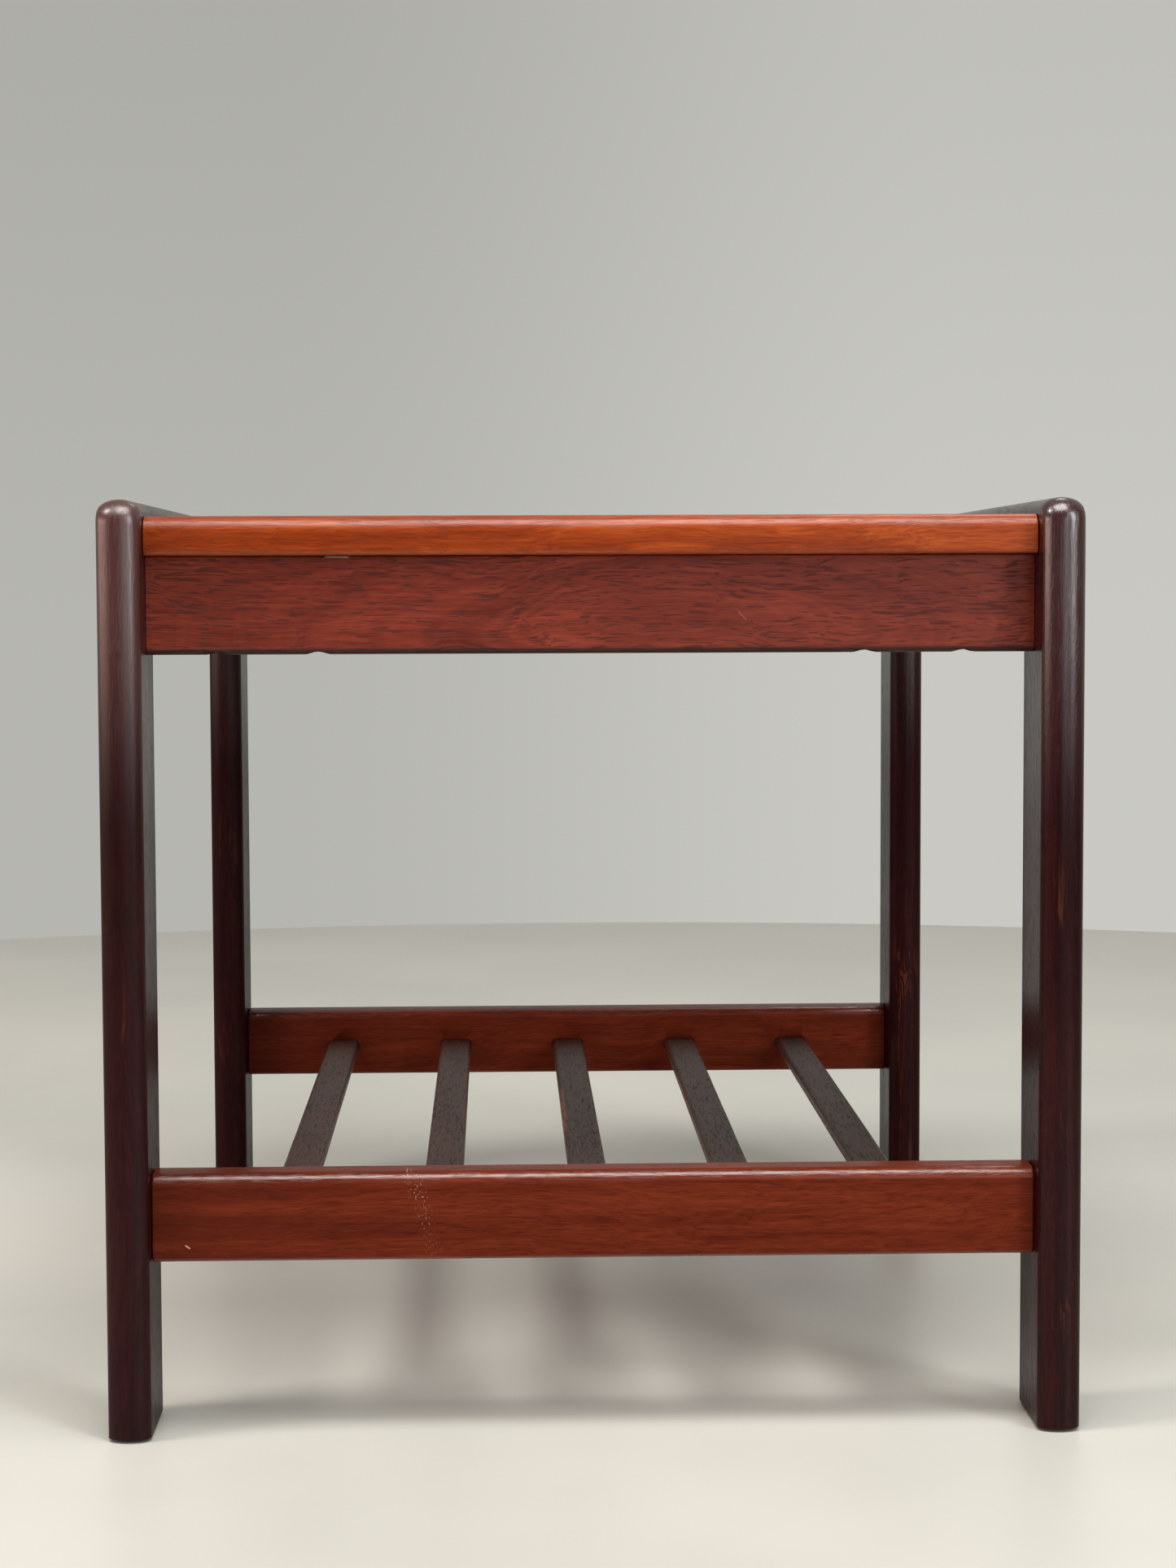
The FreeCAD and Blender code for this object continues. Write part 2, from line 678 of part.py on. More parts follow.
def check(doc, pieces):
    """Stop before anything is written if a feature failed or a piece is not sound."""
    for item in doc.Objects:
        if "Invalid" in item.State or "Error" in item.State:
            raise RuntimeError(f"{item.Name} failed: {item.State}")
    for piece in pieces:
        if piece.Shape.isNull() or not piece.Shape.isValid() or not piece.Shape.Solids:
            raise RuntimeError(f"{piece.Label} has no sound solid")


def build():
    doc = FreeCAD.newDocument("slatted_table")
    dims = Sheet(doc)
    doc.recompute()
    at = Layout(dims)
    pieces = []
    for make in (legs, side_rails, aprons, shelf_rails, slats, lippings, top_boards, dowels,
                 top_screws, foot_glides):
        pieces += make(doc, dims, at)
    doc.recompute()
    check(doc, pieces)
    os.makedirs("parts", exist_ok=True)
    for piece in pieces:
        piece.Shape.exportStep(f"parts/{piece.Label}.step")
        print(f"{piece.Label}: {len(piece.Shape.Solids)} solid(s), {piece.Shape.Volume:.0f} mm3")


build()
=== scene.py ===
"""Looks for the slatted side table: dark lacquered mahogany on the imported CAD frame.

Metres, in the CAD frame: +X right, +Y back, +Z up, origin on the floor under the middle.
"""

import math

import bmesh
import bpy
from mathutils import Matrix, Vector, noise


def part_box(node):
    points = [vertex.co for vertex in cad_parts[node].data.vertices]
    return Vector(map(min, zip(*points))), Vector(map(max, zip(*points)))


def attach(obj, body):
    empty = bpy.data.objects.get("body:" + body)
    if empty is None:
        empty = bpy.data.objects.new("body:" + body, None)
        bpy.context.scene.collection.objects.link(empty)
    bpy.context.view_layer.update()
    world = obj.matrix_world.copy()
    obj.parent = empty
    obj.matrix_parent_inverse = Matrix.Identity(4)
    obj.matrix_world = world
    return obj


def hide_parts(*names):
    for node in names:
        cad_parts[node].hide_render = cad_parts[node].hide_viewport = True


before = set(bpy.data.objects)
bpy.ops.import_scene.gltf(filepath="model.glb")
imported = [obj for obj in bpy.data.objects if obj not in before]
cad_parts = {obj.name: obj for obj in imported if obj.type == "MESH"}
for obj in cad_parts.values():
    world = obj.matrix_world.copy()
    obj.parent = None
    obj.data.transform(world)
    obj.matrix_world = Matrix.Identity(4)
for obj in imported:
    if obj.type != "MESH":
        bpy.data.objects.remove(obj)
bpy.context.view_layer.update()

MM = 0.001
TINY = 0.001 * MM
AXES = {"x": 0, "y": 1, "z": 2}
ROOT = "root"
SIDES = ("left", "right")
ENDS = ("front", "back")

# The boards of the side frames have a half-ellipse along their edges and a rounded top corner.
NOSE = 7 * MM
CORNER = 13 * MM
SIDE_RAIL_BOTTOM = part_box("side_rail_left")[0].z
LEG_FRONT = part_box("leg_front_left")[0].y
LEG_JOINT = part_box("leg_front_left")[1].y
NOSE_STEPS = 20
CORNER_STEPS = 10
FOOT_EASE = 0.6 * MM
JOINT_EASE = 0.2 * MM

# Rounded edges, and what is cut into the rails and aprons.
EASED_EDGE = 0.35 * MM
SHARP_EDGE = 0.1 * MM
APRON_LOW_ARRIS = 4.5 * MM
RAIL_LOW_ARRIS = 2 * MM
RAIL_BACK_ARRIS = 2.5 * MM
RAIL_FRONT_ARRIS = 6.5 * MM
RAIL_END_EASE = 1.5 * MM
LIPPING_LOW_ARRIS = 3 * MM
LIPPING_TOP_ROUND = 9 * MM
SLATS = 5
SLAT_ARRIS = 3 * MM
MORTISE_PLAY = 0.2 * MM
WELL_RADIUS = 8.75 * MM
WELL_SPACING = 53 * MM
SCREW_HEAD_RADIUS = 4 * MM
SCREW_HEAD_TALL = 2.6 * MM


# ---------------------------------------------------------------- small tools

def drift(seed, distance, cell=0.06):
    """Smooth, repeatable wander between -1 and 1 along a length."""
    return noise.noise(Vector((distance / cell, seed * 7.31, seed * 1.73)))


def arc(centre, radius, start, finish, steps):
    """Points on an arc, from one angle in degrees to another."""
    points = []
    for step in range(steps + 1):
        angle = math.radians(start + (finish - start) * step / steps)
        points.append((centre[0] + radius * math.cos(angle), centre[1] + radius * math.sin(angle)))
    return points


def scaled(values, factor):
    return tuple(value * factor for value in values)


def finish_piece(name, mesh, node, material):
    """Make a mesh into a shown piece that stands for a CAD node."""
    piece = bpy.data.objects.new(name, mesh)
    bpy.context.scene.collection.objects.link(piece)
    mesh.materials.append(material)
    for face in mesh.polygons:
        face.use_smooth = True
    weighted = piece.modifiers.new("even_shading", "WEIGHTED_NORMAL")
    weighted.keep_sharp = True
    weighted.weight = 100
    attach(piece, ROOT)
    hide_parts(node)
    return piece


def mesh_from(name, points, faces, crest):
    """A closed mesh with its faces turned outward and a crest value at each point."""
    mesh = bpy.data.meshes.new(name)
    mesh.from_pydata(points, [], faces)
    layer = mesh.attributes.new("crest", "FLOAT", "POINT")
    layer.data.foreach_set("value", crest)
    build = bmesh.new()
    build.from_mesh(mesh)
    bmesh.ops.recalc_face_normals(build, faces=build.faces)
    build.to_mesh(mesh)
    build.free()
    return mesh


def ease_rim(mesh, chosen, width):
    """Round the edges whose two ends both satisfy a test."""
    build = bmesh.new()
    build.from_mesh(mesh)
    edges = [edge for edge in build.edges if all(chosen(point.co) for point in edge.verts)]
    bmesh.ops.bevel(build, geom=edges, offset=width, segments=2, affect="EDGES", profile=0.5)
    build.to_mesh(mesh)
    build.free()


def cut_away(piece, cutters):
    """Take cutter meshes out of a piece, and leave only the result."""
    for index, cutter in enumerate(cutters):
        tool = bpy.data.objects.new(f"{piece.name}_cutter_{index}", cutter)
        bpy.context.scene.collection.objects.link(tool)
        step = piece.modifiers.new("cut", "BOOLEAN")
        step.operation = "DIFFERENCE"
        step.solver = "EXACT"
        step.object = tool
        piece.modifiers.move(len(piece.modifiers) - 1, 0)
        bpy.context.view_layer.update()
        with bpy.context.temp_override(object=piece, active_object=piece):
            bpy.context.view_layer.objects.active = piece
            bpy.ops.object.modifier_apply(modifier=step.name)
        bpy.data.objects.remove(tool)
    for face in piece.data.polygons:
        face.use_smooth = True


# ---------------------------------------------------------------- sections

def rounded_rectangle(low, high, radii, steps=6):
    """Section with four rounded corners, as (across, up, crest).

    The radii start at the low-low corner and go round: low-low, high-low, high-high, low-high.
    """
    corners = (
        (low[0], low[1], 1, 1, 180), (high[0], low[1], -1, 1, 270),
        (high[0], high[1], -1, -1, 0), (low[0], high[1], 1, -1, 90),
    )
    section = []
    for (across, up, inward, upward, angle), radius in zip(corners, radii):
        centre = (across + inward * radius, up + upward * radius)
        for step, point in enumerate(arc(centre, radius, angle, angle + 90, steps)):
            crest = math.sin(math.pi * step / steps) if radius > MM else 0.3
            section.append((*point, crest))
    return section


def nosed_section(middle, half, low, high, steps=18):
    """Section of a side rail: a flat board with a half-ellipse along both edges."""
    section = []
    for turn, level in ((0, high - NOSE), (180, low + NOSE)):
        for across, up in arc((0, 0), 1, turn, turn + 180, steps):
            section.append((middle + half * across, level + NOSE * up, abs(up)))
    return section


def loft(name, axis, start, finish, section_at, ease=EASED_EDGE, cell=15 * MM, steps=4):
    """A bar along one axis through a section that may vary, with rounded ends."""
    turns = [math.pi / 2 * k / steps for k in range(steps + 1)]
    rim = [(ease * (1 - math.cos(turn)), ease * (1 - math.sin(turn))) for turn in turns]
    length = finish - start - 2 * ease
    count = max(2, round(length / cell))
    stations = [(start + along, inset) for along, inset in rim]
    stations += [(start + ease + length * k / count, 0.0) for k in range(1, count)]
    stations += [(finish - along, inset) for along, inset in reversed(rim)]
    long_axis = AXES[axis]
    cross = [k for k in (0, 1, 2) if k != long_axis]
    points, crest, faces = [], [], []
    for place, inset in stations:
        section = section_at(place)
        middle = [(min(p[k] for p in section) + max(p[k] for p in section)) / 2 for k in (0, 1)]
        half = [max(p[k] for p in section) - middle[k] for k in (0, 1)]
        for across, up, value in section:
            point = [0.0, 0.0, 0.0]
            point[long_axis] = place
            point[cross[0]] = middle[0] + (across - middle[0]) * (1 - inset / half[0])
            point[cross[1]] = middle[1] + (up - middle[1]) * (1 - inset / half[1])
            points.append(point)
            crest.append(value)
    size = len(points) // len(stations)
    for ring in range(len(stations) - 1):
        base = ring * size
        for k in range(size):
            onward = (k + 1) % size
            faces.append((base + k, base + onward, base + size + onward, base + size + k))
    faces.append(tuple(range(size)))
    faces.append(tuple(range(len(points) - size, len(points))))
    return mesh_from(name, points, faces, crest)


def cylinder_mesh(name, x, y, low, high, radius, steps=40):
    rim = arc((x, y), radius, 0, 360, steps)[:-1]
    points = [(*point, low) for point in rim] + [(*point, high) for point in rim]
    faces = [tuple(range(steps)), tuple(range(steps, 2 * steps))]
    for k in range(steps):
        onward = (k + 1) % steps
        faces.append((k, onward, steps + onward, steps + k))
    return mesh_from(name, points, faces, [0.0] * len(points))


# ---------------------------------------------------------------- node graphs

class Graph:
    """A node tree, built by short calls that return output sockets."""

    def __init__(self, tree):
        self.tree = tree
        self.tree.nodes.clear()

    def node(self, kind, inputs=None, **settings):
        made = self.tree.nodes.new(f"ShaderNode{kind}")
        for name, value in settings.items():
            setattr(made, name, value)
        for key, value in (inputs or {}).items():
            if isinstance(value, bpy.types.NodeSocket):
                self.tree.links.new(value, made.inputs[key])
            else:
                made.inputs[key].default_value = value
        return made

    def math(self, operation, first, second=0.0):
        return self.node("Math", {0: first, 1: second}, operation=operation).outputs[0]

    def plus(self, first, second):
        return self.math("ADD", first, second)

    def minus(self, first, second):
        return self.math("SUBTRACT", first, second)

    def times(self, first, *others):
        for other in others:
            first = self.math("MULTIPLY", first, other)
        return first

    def distance(self, value, middle=0.0):
        return self.math("ABSOLUTE", self.minus(value, middle))

    def combine(self, x, y, z):
        return self.node("CombineXYZ", {0: x, 1: y, 2: z}).outputs[0]

    def place(self):
        return self.node("TexCoord").outputs["Object"]

    def noise(self, vector, detail=2.0, roughness=0.5, scale=1.0):
        made = self.node("TexNoise", {
            "Vector": vector, "Scale": scale, "Detail": detail, "Roughness": roughness})
        return made.outputs[0]

    def band(self, value, low, high, out_low=0.0, out_high=1.0):
        """Smooth step: out_low up to low, out_high past high."""
        made = self.node("MapRange", {
            "Value": value, "From Min": low, "From Max": high,
            "To Min": out_low, "To Max": out_high}, interpolation_type="SMOOTHSTEP")
        return made.outputs[0]

    def mix(self, factor, first, second):
        """One colour laid over another. Each is a socket or a red, green and blue."""
        made = self.node("Mix", {0: factor, 6: opaque(first), 7: opaque(second)}, data_type="RGBA")
        return made.outputs[2]

    def ramp(self, value, stops):
        made = self.node("ValToRGB", {0: value})
        elements = made.color_ramp.elements
        while len(elements) < len(stops):
            elements.new(0.5)
        for element, (position, colour) in zip(elements, stops):
            element.position = position
            element.color = opaque(colour)
        return made.outputs[0]

    def bump(self, height, strength, distance, under=None):
        """Small relief, laid on top of another one if there is one under it."""
        inputs = {"Strength": strength, "Distance": distance, "Height": height}
        if under:
            inputs["Normal"] = under
        return self.node("Bump", inputs).outputs[0]

    def surface(self, **inputs):
        """The shader at the end of a material. An underscore in a name is a space."""
        shader = self.node("BsdfPrincipled", {
            name.replace("_", " "): value for name, value in inputs.items()})
        self.node("OutputMaterial", {"Surface": shader.outputs[0]})


def opaque(colour):
    """A colour with its alpha. A socket stays as it is."""
    return (*colour, 1.0) if isinstance(colour, tuple) else colour


def new_material(name):
    material = bpy.data.materials.new(name)
    material.use_nodes = True
    return material, Graph(material.node_tree)


# ---------------------------------------------------------------- wood

# Patterns in a board, as cycles per metre along and across its grain.
SLOW_WANDER = (5.0, 9.0)
QUICK_WANDER = (38.0, 70.0)
BROAD_FIBRES = (7.0, 130.0)
FINE_FIBRES = (26.0, 620.0)
PORES = (62.0, 1000.0)
PORE_CROWDING = (11.0, 60.0)
CLOUDS = (7.0, 26.0)
RUBBED_STREAKS = (17.0, 420.0)
RUBBED_PATCHES = (14.0, 40.0)
BRUSH_MARKS = (40.0, 160.0)

# How far the fibres wander, and how the rings change along the grain.
SLOW_REACH = 34 * MM
QUICK_REACH = 4.5 * MM
RING_DRIFT = 1.5
RING_SLICE = 3.7

# The noise levels at which a pore opens and is fully open.
PORE_OPENS = 0.54
PORE_OPEN = 0.64

# Dark, middle and light colours.
LEG_TONES = ((0.011, 0.0020, 0.0024), (0.023, 0.0040, 0.0046), (0.038, 0.0072, 0.0068))
APRON_TONES = ((0.098, 0.0110, 0.0052), (0.190, 0.0250, 0.0115), (0.300, 0.0460, 0.0200))
SHELF_TONES = ((0.080, 0.0120, 0.0058), (0.137, 0.0222, 0.0090), (0.208, 0.0345, 0.0135))
LIPPING_TONES = ((0.155, 0.0180, 0.0020), (0.290, 0.0400, 0.0036), (0.440, 0.0820, 0.0100))
VENEER_TONES = ((0.100, 0.0120, 0.0050), (0.190, 0.0280, 0.0110), (0.290, 0.0500, 0.0200))
BACKING_TONES = ((0.180, 0.0750, 0.0300), (0.300, 0.1350, 0.0550), (0.400, 0.2000, 0.0900))
SLAT_TONES = ((0.034, 0.0110, 0.0070), (0.060, 0.0200, 0.0130), (0.092, 0.0330, 0.0220))
BEECH_TONES = ((0.380, 0.2400, 0.1300), (0.520, 0.3600, 0.2100), (0.640, 0.4700, 0.3000))

RUBBED_LEG = (0.16, 0.040, 0.018)
RUBBED_RAIL = (0.34, 0.12, 0.05)
RUBBED_SLAT = (0.20, 0.085, 0.04)
RUBBED_CENTRE_SLAT = (0.30, 0.12, 0.05)


class Board:
    """Places along and across the grain of a board, and the patterns drawn on them."""

    def __init__(self, g, axis):
        self.g = g
        self.parts = g.node("SeparateXYZ", {0: g.place()}).outputs
        along, side, up = {"x": (0, 1, 2), "y": (1, 0, 2), "z": (2, 0, 1)}[axis]
        self.along = self.parts[along]
        self.straight = (self.parts[side], self.parts[up])
        slow = g.minus(self.pattern(SLOW_WANDER, self.straight), 0.5)
        quick = g.minus(self.pattern(QUICK_WANDER, self.straight), 0.5)
        shift = g.plus(g.times(slow, SLOW_REACH), g.times(quick, QUICK_REACH))
        self.bent = tuple(g.plus(part, shift) for part in self.straight)

    def pattern(self, cycles, across, detail=2.0, roughness=0.5):
        """Noise stretched along the grain, over straight or bent places across it."""
        side, up = [self.g.times(part, cycles[1]) for part in across]
        return self.g.noise(self.g.combine(self.g.times(self.along, cycles[0]), side, up),
                            detail, roughness)

    def rings(self, pith, tilt, cycles):
        """Growth rings round a pith line. One that leans against the board makes arches."""
        g = self.g
        side, up = self.bent
        pith_side = g.plus(g.times(self.along, tilt), pith[0])
        spoke = g.combine(0.0, g.minus(side, pith_side), g.minus(up, pith[1]))
        radius = g.node("VectorMath", {0: spoke}, operation="LENGTH").outputs["Value"]
        line = g.combine(g.times(radius, cycles), g.times(self.along, RING_DRIFT), RING_SLICE)
        return g.noise(line, 3.0, 0.55)

    def rub(self, colour, crest, worn, wear, zone):
        """Lacquer rubbed through in streaks along the crests, inside a zone of height."""
        g = self.g
        streaks = g.band(self.pattern(RUBBED_STREAKS, self.bent, 3.0, 0.65), 0.5, 0.66)
        patches = g.band(self.pattern(RUBBED_PATCHES, self.straight), 0.52, 0.7)
        amount = g.times(streaks, patches, g.math("POWER", crest, 3.0), wear)
        if zone:
            amount = g.times(amount, g.band(self.parts[2], *zone))
        return g.mix(amount, colour, worn)


def wood(name, axis, tones, pith=(0.035, 0.05), tilt=0.0, rings=260.0, ring_depth=0.35,
         pore_depth=0.6, grain=1.0, blotch=0.25, gloss=0.36, specular=0.25, relief=1.0,
         ripples=0.5, worn=None, wear=0.0, wear_zone=None, marks_and_painted_light=None):
    """Lacquered wood, cut from a solid whose grain runs along one axis.

    grain makes the fibres finer, and relief and ripples are the strength of the pores and of
    the brush marks. gloss is the roughness. It and specular are numbers or functions of the
    graph, the place and the crest value, which marks rounded edges. The last argument adds
    single marks, and painted light: a painted sheen on the legs and painted shade on the aprons
    and shelf rails.
    """
    material, g = new_material(name)
    board = Board(g, axis)
    crest = g.node("Attribute", attribute_name="crest").outputs["Fac"]

    ring = board.rings(pith, tilt, rings)
    broad = board.pattern(scaled(BROAD_FIBRES, grain), board.bent, 3.0, 0.6)
    fine = board.pattern(scaled(FINE_FIBRES, grain), board.bent, 2.0, 0.6)
    crowding = g.minus(board.pattern(PORE_CROWDING, board.bent, 1.0), 0.5)
    pore_level = g.plus(board.pattern(scaled(PORES, grain), board.bent, 1.0), g.times(crowding, 0.2))
    pore = g.band(pore_level, PORE_OPENS, PORE_OPEN)
    fibres = g.times(g.plus(broad, fine), 0.5)
    figure = g.plus(g.times(fibres, 1.0 - ring_depth), g.times(ring, ring_depth))

    dark, middle, light = tones
    colour = g.ramp(figure, [(0.34, dark), (0.5, middle), (0.66, light)])
    cloud = board.pattern(CLOUDS, board.straight, 3.0, 0.55)
    colour = g.mix(g.band(cloud, 0.3, 0.7, 0.0, blotch), colour, scaled(dark, 0.7))
    colour = g.mix(g.times(pore, pore_depth), colour, scaled(dark, 0.5))
    if worn:
        colour = board.rub(colour, crest, worn, wear, wear_zone)
    # single marks, and on legs, aprons and shelf rails painted sheen and painted shade
    if marks_and_painted_light:
        colour = marks_and_painted_light(g, colour, board.parts, crest)
    if callable(specular):
        specular = specular(g, board.parts, crest)
    if callable(gloss):
        gloss = gloss(g, board.parts, crest)

    rough = g.plus(g.times(g.minus(fine, 0.5), 0.16 * relief), gloss)
    rough = g.plus(rough, g.times(pore, 0.15 * relief))
    pits = g.bump(g.minus(g.times(fine, 0.35), pore), 0.35 * relief, 0.12 * MM)
    brushed = g.bump(board.pattern(BRUSH_MARKS, board.straight), ripples, 0.2 * MM, pits)
    g.surface(Base_Color=colour, Roughness=rough, Normal=brushed, IOR=1.5,
              Specular_IOR_Level=specular)
    return material


# ---------------------------------------------------------------- marks and polish

def scratch(g, parts, colour, start, finish, width, tint):
    """Lay a short straight scratch on a front face, between two (x, z) points."""
    run = (finish[0] - start[0], finish[1] - start[1])
    length = math.hypot(*run)
    step = (run[0] / length, run[1] / length)
    x = g.minus(parts[0], (start[0] + finish[0]) / 2)
    z = g.minus(parts[2], (start[1] + finish[1]) / 2)
    along = g.plus(g.times(x, step[0]), g.times(z, step[1]))
    across = g.minus(g.times(z, step[0]), g.times(x, step[1]))
    near = g.band(g.distance(across), width, width * 0.3)
    inside = g.band(g.distance(along), length * 0.55, length * 0.4)
    front = g.band(parts[1], -280 * MM, -290 * MM)
    return g.mix(g.times(near, inside, front, 0.7), colour, tint)


def apron_shade_and_marks(g, colour, parts, crest):
    """Painted shade along the downward-facing lower arris, one light scratch and a chip in the glue
    line under the lipping.
    """
    # painted shade: the downward-facing lower arris is darkened
    edge = g.band(parts[2], SIDE_RAIL_BOTTOM + 3.6 * MM, SIDE_RAIL_BOTTOM + 2.2 * MM, 0.0, 0.85)
    colour = g.mix(edge, colour, (0.012, 0.003, 0.002))
    colour = scratch(g, parts, colour, (78 * MM, 440 * MM), (82.5 * MM, 435.5 * MM), 0.3 * MM,
                     (0.42, 0.14, 0.09))
    return scratch(g, parts, colour, (-142 * MM, 469.8 * MM), (-129 * MM, 469.6 * MM), 0.5 * MM,
                   (0.62, 0.50, 0.40))


def shelf_rail_marks_and_shade(g, colour, parts, crest):
    """A trail of small scuffs left of the middle, painted shade towards the left end and a nick."""
    lean = g.times(g.minus(parts[2], 140 * MM), -0.28)
    trail = g.band(g.distance(g.minus(parts[0], -98 * MM), lean), 7 * MM, 2 * MM)
    speck_place = g.combine(g.times(parts[0], 1100.0), 0.0, g.times(parts[2], 700.0))
    specks = g.band(g.noise(speck_place), 0.60, 0.68)
    front = g.band(parts[1], -300 * MM, -310 * MM)
    fading = g.band(parts[2], 104 * MM, 132 * MM, 0.15, 0.65)
    colour = g.mix(g.times(specks, trail, front, fading), colour, (0.60, 0.38, 0.30))
    # painted shade: the rail is darker towards its left end
    painted_shade_left_end = g.band(parts[0], -60 * MM, -250 * MM, 0.0, 0.4)
    colour = g.mix(painted_shade_left_end, colour, (0.060, 0.010, 0.006))
    return scratch(g, parts, colour, (-219 * MM, 103 * MM), (-216.5 * MM, 101.2 * MM), 0.5 * MM,
                   (0.80, 0.55, 0.42))


def centre_slat_touches(g, colour, parts, crest):
    """A rubbed orange patch on the left arris of the middle slat, about halfway along."""
    low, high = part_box("slat_3")
    halfway = g.band(g.distance(parts[1]), 90 * MM, 55 * MM)
    left = g.band(parts[0], (low.x + high.x) / 2, low.x + 2 * MM)
    speckle_place = g.combine(g.times(parts[0], 500.0), g.times(parts[1], 70.0), 0.0)
    speckle = g.band(g.noise(speckle_place), 0.42, 0.58, 0.25, 0.9)
    arris = g.band(crest, 0.05, 0.5)
    return g.mix(g.times(halfway, left, arris, speckle), colour, (0.30, 0.11, 0.05))


def leg_painted_sheen(g, colour, parts, crest):
    """A painted sheen: the nose of the front left leg is warmer and lighter at the top."""
    by_depth = g.band(parts[1], LEG_JOINT, LEG_FRONT + 15 * MM)
    by_height = g.band(parts[2], 330 * MM, 460 * MM)
    by_side = g.band(parts[0], 200 * MM, -200 * MM, 0.3, 1.0)
    nose = g.band(crest, 0.0, 0.3)
    # painted sheen, strongest at the top of the front left leg's nose
    painted_sheen = g.times(by_height, by_depth, by_side, nose, 0.55)
    return g.mix(painted_sheen, colour, (0.085, 0.0180, 0.0160))


def leg_polish(g, parts, crest):
    """Legs shine most on the noses at the top of the front legs, and least near the floor."""
    by_height = g.band(parts[2], 310 * MM, 470 * MM, 0.12, 1.0)
    by_shape = g.band(crest, 0.0, 0.4, 0.3, 1.0)
    by_depth = g.band(parts[1], LEG_JOINT, LEG_FRONT + 15 * MM, 0.5, 1.0)
    return g.times(by_height, by_shape, by_depth)


def leg_gloss(g, parts, crest):
    """The two legs on the right have kept a sharper gloss than the two on the left."""
    return g.band(parts[0], -100 * MM, 100 * MM, 0.32, 0.24)


def arris_polish(g, parts, crest):
    """A rail that is shiny along its rubbed arrises and dull on its flats."""
    return g.band(crest, 0.1, 0.9, 0.02, 0.6)


def lipping_polish(g, parts, crest):
    """A lipping is shiniest round its upper edge."""
    return g.band(crest, 0.1, 0.8, 0.22, 0.42)


# ---------------------------------------------------------------- other materials

def plain_metal(name, colour, gloss):
    """Turned steel with fine lathe rings."""
    material, g = new_material(name)
    fine = g.noise(g.place(), scale=1800.0)
    tint = g.mix(fine, scaled(colour, 0.8), colour)
    rough = g.band(fine, 0.3, 0.7, gloss - 0.06, gloss + 0.1)
    g.surface(Base_Color=tint, Metallic=1.0, Roughness=rough)
    return material


def moulded_plastic(name, colour):
    """Dark moulded plastic with a fine matt texture and floor dust."""
    material, g = new_material(name)
    place = g.place()
    fine = g.noise(place, scale=2600.0)
    dust = g.band(g.noise(place, 3.0, scale=180.0), 0.45, 0.75, 0.0, 0.25)
    g.surface(Base_Color=g.mix(dust, colour, (0.16, 0.15, 0.14)),
              Roughness=g.band(fine, 0.3, 0.7, 0.45, 0.6), Normal=g.bump(fine, 0.3, 0.05 * MM))
    return material


def chipboard(name):
    """Pressed wood chips, seen only on the edges of the core."""
    material, g = new_material(name)
    chips = g.node("TexVoronoi", {"Vector": g.place(), "Scale": 700.0}).outputs["Color"]
    tone = g.node("SeparateColor", {0: chips}).outputs[0]
    colour = g.ramp(tone, [(0.0, (0.28, 0.17, 0.09)), (0.5, (0.46, 0.31, 0.17)),
                           (1.0, (0.62, 0.46, 0.28))])
    g.surface(Base_Color=colour, Roughness=g.band(tone, 0.0, 1.0, 0.7, 0.9),
              Normal=g.bump(tone, 0.6, 0.4 * MM))
    return material


def floor_paint(name):
    """Pale floor paint, a little worn."""
    material, g = new_material(name)
    place = g.place()
    broad = g.noise(place, 4.0, scale=2.2)
    fine = g.noise(place, 3.0, scale=90.0)
    colour = g.mix(g.band(broad, 0.3, 0.7), (0.60, 0.60, 0.55), (0.67, 0.66, 0.61))
    rough = g.plus(g.band(broad, 0.3, 0.7, 0.30, 0.42), g.times(fine, 0.08))
    g.surface(Base_Color=colour, Roughness=rough)
    return material


# ---------------------------------------------------------------- side frames

